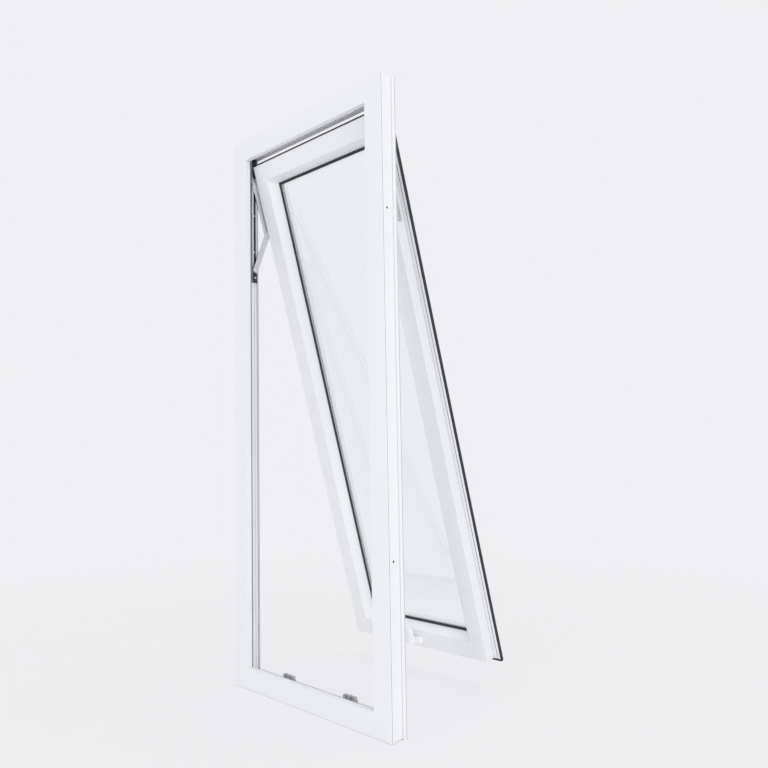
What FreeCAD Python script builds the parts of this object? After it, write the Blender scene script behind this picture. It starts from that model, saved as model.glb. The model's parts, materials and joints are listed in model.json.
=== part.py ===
"""Top hung awning window: a white aluminium frame with a double glazed sash held open on friction stays.

Millimetres, +Z up. The origin is under the middle of the sill, on the room side's face.
X runs along the sill, Y from the room to the outside, and Z up the jambs.
"""
import FreeCAD
import Part
import Sketcher
import math
import os

doc = FreeCAD.newDocument("awning_window")
sheet = doc.addObject("Spreadsheet::Sheet", "Sizes")


class Size:
    """A number together with the spreadsheet expression that gives it."""

    def __init__(self, text, value):
        self.text = text
        self.value = value

    def __add__(self, other):
        other = as_size(other)
        return Size("(" + self.text + " + " + other.text + ")", self.value + other.value)

    def __radd__(self, other):
        return as_size(other) + self

    def __sub__(self, other):
        other = as_size(other)
        return Size("(" + self.text + " - " + other.text + ")", self.value - other.value)

    def __rsub__(self, other):
        return as_size(other) - self

    def __mul__(self, other):
        other = as_size(other)
        return Size("(" + self.text + " * " + other.text + ")", self.value * other.value)

    def __rmul__(self, other):
        return as_size(other) * self

    def __truediv__(self, other):
        other = as_size(other)
        return Size("(" + self.text + " / " + other.text + ")", self.value / other.value)

    def __neg__(self):
        return Size("(0 - " + self.text + ")", -self.value)


def as_size(number):
    """A plain number as a Size."""
    if isinstance(number, Size):
        return number
    return Size(repr(number), number)


def sine(angle):
    return Size("sin(" + angle.text + ")", math.sin(math.radians(angle.value)))


def cosine(angle):
    return Size("cos(" + angle.text + ")", math.cos(math.radians(angle.value)))


def length_of(a, b):
    """The distance spanned by two perpendicular steps."""
    return Size("sqrt(" + (a * a + b * b).text + ")", math.hypot(a.value, b.value))


def turn_of(a, b):
    """The angle whose tangent is a over b, in degrees."""
    return Size("atan2(" + a.text + "; " + b.text + ")", math.degrees(math.atan2(a.value, b.value)))


sheet_row = 0


def size(alias, value, note):
    """Writes one driving size into the sheet and returns it."""
    global sheet_row
    sheet_row += 1
    sheet.set("A" + str(sheet_row), note)
    sheet.set("B" + str(sheet_row), str(value))
    sheet.setAlias("B" + str(sheet_row), alias)
    return Size("Sizes." + alias, float(value))


# Outer frame
frame_width = size("frame_width", 600, "frame, overall width")
frame_height = size("frame_height", 1500, "frame, overall height")
frame_depth = size("frame_depth", 48, "frame, room face to outside face")
frame_face = size("frame_face", 56, "frame, width of the room face")
frame_wall = size("frame_wall", 1.6, "frame, wall of the extrusion")
upstand_depth = size("upstand_depth", 15, "frame, depth of the leg that the sash closes against")
rebate_rise = size("rebate_rise", 14, "frame, height of that leg above the rebate")
front_rib = size("front_rib", 8, "frame, room side rib beside the fixing channel")
rear_rib = size("rear_rib", 11, "frame, outside rib beside the fixing channel")
channel_depth = size("channel_depth", 3, "frame, depth of the fixing channel")
groove_width = size("groove_width", 1, "frame, width of the fine grooves along it")
groove_depth = size("groove_depth", 0.8, "frame, depth of the fine grooves in the rebate")
edge_groove_depth = size("edge_groove_depth", 2.2, "frame, depth of the fine grooves on the ribs")
edge_groove_inset = size("edge_groove_inset", 1.6, "frame, grooves on the ribs, distance from the faces")
rebate_groove_inset = size("rebate_groove_inset", 3, "frame, rebate's rear groove to the outside face")
rebate_groove_pitch = size("rebate_groove_pitch", 8, "frame, spacing of the rebate's two grooves")
frame_arris = size("frame_arris", 0.8, "frame, radius of its arrises")
fixing_radius = size("fixing_radius", 2.75, "fixing hole, radius")
fixing_inset = size("fixing_inset", 18, "fixing hole, distance from the room face")
fixing_rise = size("fixing_rise", 386, "lower fixing hole, height above the sill's underside")
fixing_spacing = size("fixing_spacing", 798, "fixing holes, spacing up the jamb")
stop_gasket_inset = size("stop_gasket_inset", 1.5, "frame gasket, distance from the leg's edge")
stop_gasket_depth = size("stop_gasket_depth", 3, "frame gasket, depth")
stop_gasket_width = size("stop_gasket_width", 4.5, "frame gasket, width")

# Sash
side_overlap = size("side_overlap", 3, "sash, how far its sides lap the frame's leg when closed")
end_overlap = size("end_overlap", 7, "sash, how far its top and bottom lap the frame's leg when closed")
sash_tilt = size("sash_tilt", 15.5, "sash, opening angle in degrees")
sash_out = size("sash_out", 27, "open sash, distance of its top edge behind the frame's room face")
sash_drop = size("sash_drop", 21.5, "open sash, how far its top edge has slid down")
sash_face = size("sash_face", 48, "sash, width of the room face")
sash_wall = size("sash_wall", 1.6, "sash, wall of the extrusion")
sash_arris = size("sash_arris", 1.2, "sash, radius of its arrises")
flange_setback = size("flange_setback", 30, "sash, room face to the flange")
flange_thickness = size("flange_thickness", 4, "sash, thickness of the flange")
flange_reach = size("flange_reach", 19, "sash, how far the flange stands out from the sides")
flange_head = size("flange_head", 10, "sash, how far the flange stands up above the top rail")
flange_foot = size("flange_foot", 2, "sash, how far the flange stands out below the bottom rail")
flange_groove_reach = size("flange_groove_reach", 10, "sash, flange's root to the groove in it")
flange_groove_width = size("flange_groove_width", 2, "sash, groove in the flange, width")
flange_groove_depth = size("flange_groove_depth", 2.5, "sash, groove in the flange, depth")
edge_gasket_reach = size("edge_gasket_reach", 2, "edge gasket, how far it stands out from the sides")
edge_gasket_head = size("edge_gasket_head", 3.5, "edge gasket, how far it stands up along the top")
edge_gasket_foot = size("edge_gasket_foot", 6, "edge gasket, how far its drip hangs below the flange")
edge_gasket_depth = size("edge_gasket_depth", 9, "edge gasket, depth")
lip_thickness = size("lip_thickness", 2, "sash, thickness of the outside glazing lip")
lip_reach = size("lip_reach", 14, "sash, how far the glazing lip reaches over the glass")

# Glazing
pane_thickness = size("pane_thickness", 5, "glass, thickness of one pane")
pane_gap = size("pane_gap", 6, "glass, gap between the panes")
glass_clearance = size("glass_clearance", 3, "glass, clearance round its edge")
spacer_inset = size("spacer_inset", 4, "glass spacer, distance from the pane's edge")
spacer_width = size("spacer_width", 7, "glass spacer, width")
bead_depth = size("bead_depth", 30, "glazing bead, depth from the room face to its gasket")
bead_rise = size("bead_rise", 11, "glazing bead, height of its slope at the glass")
bead_wall = size("bead_wall", 1.5, "glazing bead, wall")
bead_nose = size("bead_nose", 0.5, "glazing bead, height of its nose at the room face")
bead_fold = size("bead_fold", 7.5, "glazing bead, depth of its solid nose")
glazing_gasket = size("glazing_gasket", 2, "glazing gasket, thickness")
glazing_gasket_lap = size("glazing_gasket_lap", 3, "glazing gasket, part tucked under the bead")
glazing_gasket_sight = size("glazing_gasket_sight", 7.5, "glazing gasket, part in sight")
outer_seal_width = size("outer_seal_width", 7, "outer glazing seal, width")

# Friction stays
track_length = size("track_length", 338, "stay track, length")
track_top_gap = size("track_top_gap", 17, "stay track, distance below the frame's head")
track_width = size("track_width", 16, "stay track, width")
track_height = size("track_height", 3.5, "stay track, height of its folded edges")
track_wall = size("track_wall", 1.2, "stay track, sheet thickness")
track_lip = size("track_lip", 4.5, "stay track, width of the lips that hold the slider")
track_rear_gap = size("track_rear_gap", 4, "stay track, distance from the frame's outside face")
slider_below_top = size("slider_below_top", 60, "slider pivot, distance below the track's top end")
slider_length = size("slider_length", 28, "slider, middle to middle of its round ends")
slider_width = size("slider_width", 13, "slider and blocks, width of the part on the track's lips")
slider_clearance = size("slider_clearance", 0.2, "slider and blocks, clearance in the track")
slider_boss = size("slider_boss", 0.5, "slider, height of the boss under the arm")
pivot_radius = size("pivot_radius", 5.5, "stay pivots, radius of the bosses")
pin_radius = size("pin_radius", 2.5, "stay pivots, radius of the pins")
arm_thickness = size("arm_thickness", 2, "stay arms, thickness")
arm_width = size("arm_width", 16, "stay arms, width")
arm_splay = size("arm_splay", 0.9, "slider arm, angle to the sash in degrees")
knee_distance = size("knee_distance", 142, "slider arm, slider pivot to knee")
sash_arm_inset = size("sash_arm_inset", 3, "sash arm, distance behind the sash's room face")
sash_arm_above = size("sash_arm_above", 120, "sash arm, length above the knee")
sash_arm_below = size("sash_arm_below", 70, "sash arm, length below the knee")
block_length = size("block_length", 26, "end block, length")
top_block_length = size("top_block_length", 36, "top block, length")
block_height = size("block_height", 1.5, "end and top blocks, height above the track's lips")
block_gap = size("block_gap", 9, "end block, distance from the lower pivot")

# Handle and keeps
handle_rise = size("handle_rise", 20, "handle, its middle above the bottom rail's lower edge")
handle_width = size("handle_width", 54, "handle base, length along the rail")
handle_height = size("handle_height", 22, "handle base, height")
handle_base_depth = size("handle_base_depth", 8, "handle base, depth")
handle_boss_radius = size("handle_boss_radius", 7, "handle boss, radius")
handle_boss_depth = size("handle_boss_depth", 6, "handle boss, depth")
handle_round = size("handle_round", 2.5, "handle, radius of its front edges")
lever_length = size("lever_length", 32, "lever, boss to the middle of its round tip")
lever_width = size("lever_width", 16, "lever, width")
lever_depth = size("lever_depth", 8, "lever, depth")
keep_offset = size("keep_offset", 118, "keep, distance from the window's middle")
keep_length = size("keep_length", 46, "keep, length along the sill")
keep_depth = size("keep_depth", 9, "keep, depth")
keep_rear_gap = size("keep_rear_gap", 1, "keep, distance from the frame's outside face")
keep_base = size("keep_base", 4, "keep, height of its base")
keep_height = size("keep_height", 12, "keep, height of its lugs above the sill's rebate")
lug_length = size("lug_length", 10, "keep, length of one lug")
lug_pitch = size("lug_pitch", 15, "keep, spacing of its three lugs")

doc.recompute()

zero = as_size(0.0)

# Sizes that follow from the ones above
rebate_floor = frame_face - rebate_rise
sash_width = frame_width - 2 * frame_face + 2 * side_overlap
sash_height = frame_height - 2 * frame_face + 2 * end_overlap
sash_top = frame_height - frame_face + end_overlap - sash_drop
glass_inner = bead_depth + glazing_gasket
glass_outer = glass_inner + 2 * pane_thickness + pane_gap
sash_depth = glass_outer + glazing_gasket + lip_thickness
glass_edge = sash_face + glass_clearance


def new_body(label):
    body = doc.addObject("PartDesign::Body", label)
    body.Label = label
    return body


def origin_plane(body, role):
    for feature in body.Origin.OriginFeatures:
        if feature.Role == role:
            return feature
    raise ValueError(role)


def add_sketch(body, role, offset=zero):
    """An empty sketch on one of the body's own planes, moved along its normal."""
    sketch = body.newObject("Sketcher::SketchObject", body.Label + "_sketch")
    sketch.AttachmentSupport = [(origin_plane(body, role), "")]
    sketch.MapMode = "FlatFace"
    sketch.setExpression("AttachmentOffset.Base.z", offset.text)
    return sketch


def tie(sketch, kind, geometry, position, value):
    """Ties one coordinate of a sketch point to the sketch's origin."""
    number = sketch.addConstraint(Sketcher.Constraint(kind, -1, 1, geometry, position, value.value))
    sketch.setExpression("Constraints[" + str(number) + "]", value.text)


def tie_point(sketch, geometry, position, x, y):
    tie(sketch, "DistanceX", geometry, position, x)
    tie(sketch, "DistanceY", geometry, position, y)


def join(sketch, first, first_end, second, second_end):
    sketch.addConstraint(Sketcher.Constraint("Coincident", first, first_end, second, second_end))


def vector(point):
    return FreeCAD.Vector(point[0].value, point[1].value, 0)


def heading(corner, other):
    """The unit steps along X and Y from a corner to a neighbour on its row or column."""
    steps = [as_size(b).value - as_size(a).value for a, b in zip(corner[:2], other[:2])]
    return [0.0 if step == 0 else math.copysign(1.0, step) for step in steps]


def add_loop(sketch, corners):
    """A closed outline, anticlockwise. A corner is a pair of sizes, and a third one rounds it."""
    ends = []
    for i, corner in enumerate(corners):
        x = as_size(corner[0])
        y = as_size(corner[1])
        arrive = leave = (x, y)
        if len(corner) == 3:
            back = heading(corner, corners[i - 1])
            ahead = heading(corner, corners[(i + 1) % len(corners)])
            arrive = (x + back[0] * corner[2], y + back[1] * corner[2])
            leave = (x + ahead[0] * corner[2], y + ahead[1] * corner[2])
        ends.append((arrive, leave))
    lines = []
    for i, (arrive, leave) in enumerate(ends):
        stop = ends[(i + 1) % len(ends)][0]
        lines.append(sketch.addGeometry(Part.LineSegment(vector(leave), vector(stop)), False))
    for i, corner in enumerate(corners):
        arrive, leave = ends[i]
        tie_point(sketch, lines[i], 1, *leave)
        if len(corner) == 2:
            join(sketch, lines[i - 1], 2, lines[i], 1)
            continue
        tie_point(sketch, lines[i - 1], 2, *arrive)
        centre = (arrive[0] + leave[0] - corner[0], arrive[1] + leave[1] - corner[1])
        start = vector(arrive) - vector(centre)
        turn = math.atan2(start.y, start.x)
        circle = Part.Circle(vector(centre), FreeCAD.Vector(0, 0, 1), corner[2].value)
        arc = sketch.addGeometry(Part.ArcOfCircle(circle, turn, turn + math.pi / 2), False)
        join(sketch, lines[i - 1], 2, arc, 1)
        join(sketch, arc, 2, lines[i], 1)
        tie(sketch, "DistanceX", arc, 3, centre[0])


def add_rectangle(sketch, x_low, x_high, y_low, y_high):
    add_loop(sketch, [(x_low, y_low), (x_high, y_low), (x_high, y_high), (x_low, y_high)])


def add_circle(sketch, x, y, radius):
    number = sketch.addGeometry(Part.Circle(vector((x, y)), FreeCAD.Vector(0, 0, 1), radius.value), False)
    tie_point(sketch, number, 3, x, y)
    limit = sketch.addConstraint(Sketcher.Constraint("Radius", number, radius.value))
    sketch.setExpression("Constraints[" + str(limit) + "]", radius.text)


def add_slot(sketch, length, width):
    """A bar with round ends, from the origin along the sketch's X axis."""
    half = width / 2
    top = sketch.addGeometry(Part.LineSegment(vector((length, half)), vector((zero, half))), False)
    low = sketch.addGeometry(Part.LineSegment(vector((zero, -half)), vector((length, -half))), False)
    tie_point(sketch, top, 1, length, half)
    tie_point(sketch, top, 2, zero, half)
    tie_point(sketch, low, 1, zero, -half)
    tie_point(sketch, low, 2, length, -half)
    for middle, before, after, turn in ((zero, top, low, math.pi / 2), (length, low, top, -math.pi / 2)):
        circle = Part.Circle(vector((middle, zero)), FreeCAD.Vector(0, 0, 1), half.value)
        arc = sketch.addGeometry(Part.ArcOfCircle(circle, turn, turn + math.pi), False)
        join(sketch, before, 2, arc, 1)
        join(sketch, arc, 2, after, 1)
        tie(sketch, "DistanceX", arc, 3, middle)


def pad(body, sketch, length, symmetric=False, reverse=False):
    feature = body.newObject("PartDesign::Pad", body.Label + "_pad")
    feature.Profile = sketch
    feature.setExpression("Length", length.text)
    feature.SideType = "Symmetric" if symmetric else "One side"
    feature.Reversed = reverse
    sketch.Visibility = False
    return feature


def cut_through(body, sketch):
    feature = body.newObject("PartDesign::Pocket", body.Label + "_pocket")
    feature.Profile = sketch
    feature.Type = "ThroughAll"
    feature.SideType = "Symmetric"
    sketch.Visibility = False
    return feature


def round_front(body, feature, radius):
    """Rounds the edges of the feature's face that looks towards the room."""
    doc.recompute()
    depths = [face.CenterOfMass.y for face in feature.Shape.Faces]
    front = "Face" + str(depths.index(min(depths)) + 1)
    rounding = body.newObject("PartDesign::Fillet", body.Label + "_fillet")
    rounding.Base = (feature, [front])
    rounding.setExpression("Radius", radius.text)


def pose(base, axis, angle):
    """The text of a placement: where a piece sits and how far it turns about an axis."""
    x, y, z = [as_size(value).text for value in base]
    turn = "rotation(vector(" + axis + "); " + as_size(angle).text + ")"
    return "placement(vector(" + x + "; " + y + "; " + z + "); " + turn + ")"


sash_pose = pose((0.0, sash_out, sash_top), "1; 0; 0", sash_tilt)


def place(body, base, axis="0; 1; 0", angle=0.0, on_sash=False):
    text = pose(base, axis, angle)
    if on_sash:
        text = sash_pose + " * " + text
    body.setExpression("Placement", text)


def member(label, section, length, high):
    """A straight extrusion along X with its ends mitred: sections are drawn as depth against rise."""
    body = new_body(label)
    loops, low = section
    profile = add_sketch(body, "YZ_Plane")
    for loop in loops:
        add_loop(profile, loop)
    pad(body, profile, length - 2 * low, symmetric=True)
    mitre = add_sketch(body, "XZ_Plane")
    for side in (-1.0, 1.0):
        outer = side * (length / 2 - low)
        inner = side * (length / 2 - high)
        add_loop(mitre, [(outer, low), (inner, high), (outer, high)])
    cut_through(body, mitre)
    return body


def four_sides(names, bottom_section, top_section, side_section, width, height, high, on_sash=False):
    """Bottom, top, left and right members of one rectangle, mitred together at its corners.

    A section is its outlines and how low they reach, and all sections reach the same height.
    """
    bottom_label, top_label, left_label, right_label = names
    base_z = -height if on_sash else zero
    middle_z = base_z + height / 2
    bottom = member(bottom_label, bottom_section, width, high)
    place(bottom, (0.0, 0.0, base_z), on_sash=on_sash)
    top = member(top_label, top_section, width, high)
    place(top, (0.0, 0.0, base_z + height), "0; 1; 0", 180.0, on_sash)
    left = member(left_label, side_section, height, high)
    place(left, (-(width / 2), 0.0, middle_z), "0; 1; 0", 90.0, on_sash)
    right = member(right_label, side_section, height, high)
    place(right, (width / 2, 0.0, middle_z), "0; 1; 0", -90.0, on_sash)
    return left, right


def ring(label, half_width, half_height, width, base_y, depth, middle_z, on_sash=False):
    """A flat rectangular ring or plate, standing upright; a plate has no ring width."""
    body = new_body(label)
    sketch = add_sketch(body, "XZ_Plane")
    add_rectangle(sketch, -half_width, half_width, -half_height, half_height)
    if width is not None:
        inner_width = half_width - width
        inner_height = half_height - width
        add_rectangle(sketch, -inner_width, inner_width, -inner_height, inner_height)
    pad(body, sketch, depth, reverse=True)
    place(body, (0.0, base_y, middle_z), on_sash=on_sash)


def groove(near, far, level, depth):
    """The four corners of a square groove, from one place along a face to another."""
    return [(near, level), (near, level + depth), (far, level + depth), (far, level)]


# The frame's extrusion: a hollow L, its tall leg towards the room and a fixing channel on its outer side.
# Fine grooves run along both ribs of the outer side and along the rebate.
channel_end = frame_depth - rear_rib
rear_groove = frame_depth - edge_groove_inset
frame_outline = [(zero, zero, frame_arris)]
frame_outline += groove(edge_groove_inset, edge_groove_inset + groove_width, zero, edge_groove_depth)
frame_outline += groove(front_rib, channel_end, zero, channel_depth)
frame_outline += groove(rear_groove - groove_width, rear_groove, zero, edge_groove_depth)
frame_outline += [(frame_depth, zero, frame_arris), (frame_depth, rebate_floor, frame_arris)]
rebate_groove = frame_depth - rebate_groove_inset
for groove_at in (rebate_groove, rebate_groove - rebate_groove_pitch):
    frame_outline += groove(groove_at, groove_at - groove_width, rebate_floor, -groove_depth)
frame_outline += [(upstand_depth, rebate_floor), (upstand_depth, frame_face, frame_arris),
                  (zero, frame_face, frame_arris)]
chamber_low = channel_depth + frame_wall
chamber_high = rebate_floor - groove_depth - frame_wall
leg_rear = upstand_depth - frame_wall
chamber_rear = frame_depth - frame_wall
frame_chamber = [
    (frame_wall, chamber_low), (chamber_rear, chamber_low), (chamber_rear, chamber_high),
    (leg_rear, chamber_high), (leg_rear, frame_face - frame_wall), (frame_wall, frame_face - frame_wall)]
frame_section = ([frame_outline, frame_chamber], zero)
frame_names = ("frame_sill", "frame_head", "frame_left_jamb", "frame_right_jamb")
left_jamb, right_jamb = four_sides(
    frame_names, frame_section, frame_section, frame_section, frame_width, frame_height, frame_face)

# Two fixing holes through each jamb, at the same heights on both.
fixing_low = fixing_rise - frame_height / 2
fixing_high = fixing_low + fixing_spacing
for jamb, side in ((left_jamb, -1.0), (right_jamb, 1.0)):
    holes = add_sketch(jamb, "XY_Plane")
    add_circle(holes, side * fixing_low, fixing_inset, fixing_radius)
    add_circle(holes, side * fixing_high, fixing_inset, fixing_radius)
    cut_through(jamb, holes)

# The black gasket on the leg that the sash closes against.
stop_edge = frame_face - stop_gasket_inset - stop_gasket_width
ring("frame_stop_gasket", frame_width / 2 - stop_edge, frame_height / 2 - stop_edge, stop_gasket_width,
     upstand_depth, stop_gasket_depth, frame_height / 2)

# The sash's extrusion: a hollow box with a grooved flange out to the sides and a lip behind the glass.
# The flange is cut down along the top rail, and to a narrow foot along the bottom rail. The stiles' flanges
# stop level with both.
flange_rear = flange_setback + flange_thickness
groove_floor = flange_setback + flange_groove_depth
groove_end = flange_groove_reach + flange_groove_width
lip_front = sash_depth - lip_thickness
lip_edge = sash_face + lip_reach
room_side = [(zero, zero, sash_arris), (flange_setback, zero)]
flange_side = [
    (flange_setback, -flange_groove_reach), (groove_floor, -flange_groove_reach),
    (groove_floor, -groove_end), (flange_setback, -groove_end),
    (flange_setback, -flange_reach), (flange_rear, -flange_reach)]
head_side = [(flange_setback, -flange_head), (flange_rear, -flange_head)]
foot_side = [(flange_setback, -flange_foot), (flange_rear, -flange_foot)]
outer_side = [
    (flange_rear, zero), (sash_depth, zero, sash_arris), (sash_depth, lip_edge), (lip_front, lip_edge),
    (lip_front, sash_face), (zero, sash_face, sash_arris)]
sash_chamber = [
    (sash_wall, sash_wall), (sash_depth - sash_wall, sash_wall),
    (sash_depth - sash_wall, sash_face - sash_wall), (sash_wall, sash_face - sash_wall)]
stile_section = ([room_side + flange_side + outer_side, sash_chamber], -flange_reach)
top_section = ([room_side + head_side + outer_side, sash_chamber], -flange_head)
bottom_section = ([room_side + foot_side + outer_side, sash_chamber], -flange_foot)
sash_names = ("sash_bottom_rail", "sash_top_rail", "sash_left_stile", "sash_right_stile")
left_stile, right_stile = four_sides(
    sash_names, bottom_section, top_section, stile_section, sash_width, sash_height, lip_edge, on_sash=True)
for stile, lower_end in ((left_stile, 1.0), (right_stile, -1.0)):
    trim = add_sketch(stile, "XZ_Plane")
    for end, level in ((lower_end, flange_foot), (-lower_end, flange_head)):
        add_rectangle(trim, end * (sash_height / 2 + level), end * (sash_height / 2 + flange_reach),
                      -flange_reach, zero)
    cut_through(stile, trim)

# The glazing beads: thin folded wedges that slope down to the glass.
bead_inner = sash_face + bead_rise
bead_outline = [
    (zero, sash_face), (bead_depth, sash_face), (bead_depth, sash_face + bead_wall),
    (bead_fold, sash_face + bead_wall), (bead_depth, bead_inner - bead_wall), (bead_depth, bead_inner),
    (zero, sash_face + bead_nose)]
bead_section = ([bead_outline], sash_face)
bead_names = ("bottom_glazing_bead", "top_glazing_bead", "left_glazing_bead", "right_glazing_bead")
four_sides(bead_names, bead_section, bead_section, bead_section, sash_width, sash_height, bead_inner,
           on_sash=True)

# Two panes with a spacer between them, a gasket on the room side and a seal under the outside lip.
sash_half_width = sash_width / 2
sash_half_height = sash_height / 2
sash_middle = -sash_half_height
pane_half_width = sash_half_width - glass_edge
pane_half_height = sash_half_height - glass_edge
outer_pane_y = glass_outer - pane_thickness
for pane_name, pane_y in (("inner_glass_pane", glass_inner), ("outer_glass_pane", outer_pane_y)):
    ring(pane_name, pane_half_width, pane_half_height, None, pane_y, pane_thickness, sash_middle, True)
ring("glass_spacer", pane_half_width - spacer_inset, pane_half_height - spacer_inset, spacer_width,
     glass_inner + pane_thickness, pane_gap, sash_middle, True)
gasket_start = sash_face + bead_rise - glazing_gasket_lap
ring("inner_glazing_gasket", sash_half_width - gasket_start, sash_half_height - gasket_start,
     glazing_gasket_lap + glazing_gasket_sight, bead_depth, glazing_gasket, sash_middle, True)
seal_start = lip_edge - outer_seal_width
ring("outer_glazing_gasket", sash_half_width - seal_start, sash_half_height - seal_start, outer_seal_width,
     glass_outer, glazing_gasket, sash_middle, True)

# The black gasket round the flange's edge, which hangs lower along the bottom as a drip.
edge_gasket = new_body("sash_edge_gasket")
edge_ring = add_sketch(edge_gasket, "XZ_Plane")
flange_half = sash_half_width + flange_reach
flange_low = -(sash_height + flange_foot)
add_rectangle(edge_ring, -(flange_half + edge_gasket_reach), flange_half + edge_gasket_reach,
              flange_low - edge_gasket_foot, flange_head + edge_gasket_head)
add_rectangle(edge_ring, -flange_half, flange_half, flange_low, flange_head)
pad(edge_gasket, edge_ring, edge_gasket_depth, reverse=True)
place(edge_gasket, (0.0, flange_setback, 0.0), on_sash=True)

# Friction stays, one in the gap on each side: a track on the jamb with a slider under its lips and a block
# in each end, a bar screwed along the sash, an arm from the slider to the bar's knee, and a support arm from
# the track's lower pivot to it.
# The bar, the support arm and the slider's arm lie side by side in that order, out from the sash.
stay_y = frame_depth - track_rear_gap - track_width / 2
track_top = frame_height - rebate_floor - track_top_gap
track_low = track_top - track_length
slider_z = track_top - slider_below_top
lower_pivot_z = track_low + block_length + block_gap
slider_arm_angle = sash_tilt + arm_splay
knee_y = stay_y + knee_distance * sine(slider_arm_angle)
knee_z = slider_z - knee_distance * cosine(slider_arm_angle)
support_length = length_of(knee_y - stay_y, knee_z - lower_pivot_z)
support_angle = turn_of(knee_z - lower_pivot_z, knee_y - stay_y)
knee_in = (knee_y - sash_out) * cosine(sash_tilt) + (knee_z - sash_top) * sine(sash_tilt)
knee_down = (knee_y - sash_out) * sine(sash_tilt) - (knee_z - sash_top) * cosine(sash_tilt)
rebate_x = frame_width / 2 - rebate_floor
floor_x = rebate_x - track_wall
edge_x = rebate_x - track_height
lip_x = edge_x + track_wall
sash_side_x = sash_width / 2
support_x = sash_side_x + arm_thickness
slider_arm_x = support_x + arm_thickness
boss_x = slider_arm_x + arm_thickness
shoe_x = boss_x + slider_boss
track_front = stay_y - track_width / 2
track_rear = stay_y + track_width / 2
neck_width = track_width - 2 * (track_lip + slider_clearance)
slider_layers = (
    (shoe_x, edge_x - slider_clearance, slider_width),
    (edge_x - slider_clearance, lip_x + slider_clearance, neck_width),
    (lip_x + slider_clearance, floor_x, track_width - 2 * (track_wall + slider_clearance)))
block_layers = ((edge_x - block_height, edge_x, slider_width), (edge_x, floor_x, neck_width))
bar_front = sash_arm_inset - knee_in


def plug(body, side, near, far, y, z, radius):
    """A round boss or pin across the gap, between two distances from the window's middle."""
    sketch = add_sketch(body, "YZ_Plane", side * near)
    add_circle(sketch, y, z, radius)
    pad(body, sketch, far - near, reverse=side < 0)


for side_name, side in (("left", -1.0), ("right", 1.0)):
    track = new_body(side_name + "_stay_track")
    channel = add_sketch(track, "XY_Plane", track_low)
    add_loop(channel, [
        (side * rebate_x, track_front), (side * rebate_x, track_rear),
        (side * edge_x, track_rear), (side * edge_x, track_rear - track_lip),
        (side * lip_x, track_rear - track_lip), (side * lip_x, track_rear - track_wall),
        (side * floor_x, track_rear - track_wall), (side * floor_x, track_front + track_wall),
        (side * lip_x, track_front + track_wall), (side * lip_x, track_front + track_lip),
        (side * edge_x, track_front + track_lip), (side * edge_x, track_front)])
    pad(track, channel, track_length)
    plug(track, side, slider_arm_x, floor_x, stay_y, lower_pivot_z, pivot_radius)
    plug(track, side, support_x, slider_arm_x, stay_y, lower_pivot_z, pin_radius)

    slider = new_body(side_name + "_stay_slider")
    for near, far, width in slider_layers:
        layer = add_sketch(slider, "YZ_Plane", side * near)
        add_slot(layer, slider_length, width)
        pad(slider, layer, far - near, reverse=side < 0)
    plug(slider, side, boss_x, shoe_x, slider_length / 2, zero, pivot_radius)
    plug(slider, side, slider_arm_x, boss_x, slider_length / 2, zero, pin_radius)
    place(slider, (0.0, stay_y, slider_z - slider_length / 2), "1; 0; 0", 90.0)

    slider_arm = new_body(side_name + "_slider_arm")
    link = add_sketch(slider_arm, "YZ_Plane")
    add_slot(link, knee_distance, arm_width)
    add_circle(link, zero, zero, pin_radius)
    add_circle(link, knee_distance, zero, pin_radius)
    pad(slider_arm, link, arm_thickness, reverse=side < 0)
    place(slider_arm, (side * slider_arm_x, stay_y, slider_z), "1; 0; 0", slider_arm_angle - 90.0)

    support_arm = new_body(side_name + "_support_arm")
    link = add_sketch(support_arm, "YZ_Plane")
    add_slot(link, support_length, arm_width)
    add_circle(link, zero, zero, pin_radius)
    add_circle(link, support_length, zero, pin_radius)
    pad(support_arm, link, arm_thickness, reverse=side < 0)
    place(support_arm, (side * support_x, stay_y, lower_pivot_z), "1; 0; 0", support_angle)

    sash_arm = new_body(side_name + "_sash_arm")
    bar = add_sketch(sash_arm, "YZ_Plane")
    add_rectangle(bar, bar_front, bar_front + arm_width, -sash_arm_below, sash_arm_above)
    pad(sash_arm, bar, arm_thickness, reverse=side < 0)
    ear = add_sketch(sash_arm, "YZ_Plane")
    add_slot(ear, bar_front + arm_width / 2, arm_width)
    pad(sash_arm, ear, arm_thickness, reverse=side < 0)
    plug(sash_arm, side, arm_thickness, 3 * arm_thickness, zero, zero, pin_radius)
    place(sash_arm, (side * sash_side_x, knee_in, -knee_down), on_sash=True)

    for block_name, low, high in (("_stay_end_block", track_low, track_low + block_length),
                                  ("_stay_top_block", track_top - top_block_length, track_top)):
        block = new_body(side_name + block_name)
        for near, far, width in block_layers:
            layer = add_sketch(block, "YZ_Plane", side * near)
            add_rectangle(layer, stay_y - width / 2, stay_y + width / 2, low, high)
            pad(block, layer, far - near, reverse=side < 0)

# The handle on the bottom rail: a base with round ends, a boss and a lever, upright when it is unlocked.
handle_z = handle_rise - sash_height
handle_half = (handle_width - handle_height) / 2
handle_base = new_body("handle_base")
plate = add_sketch(handle_base, "XZ_Plane")
add_slot(plate, 2 * handle_half, handle_height)
round_front(handle_base, pad(handle_base, plate, handle_base_depth), handle_round)
boss = add_sketch(handle_base, "XZ_Plane", handle_base_depth)
add_circle(boss, handle_half, zero, handle_boss_radius)
pad(handle_base, boss, handle_boss_depth)
place(handle_base, (-handle_half, 0.0, handle_z), on_sash=True)

lever = new_body("handle_lever")
blade = add_sketch(lever, "XZ_Plane")
add_slot(blade, lever_length, lever_width)
round_front(lever, pad(lever, blade, lever_depth), handle_round)
place(lever, (0.0, -(handle_base_depth + handle_boss_depth), handle_z), "0; 1; 0", -90.0, True)

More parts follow.
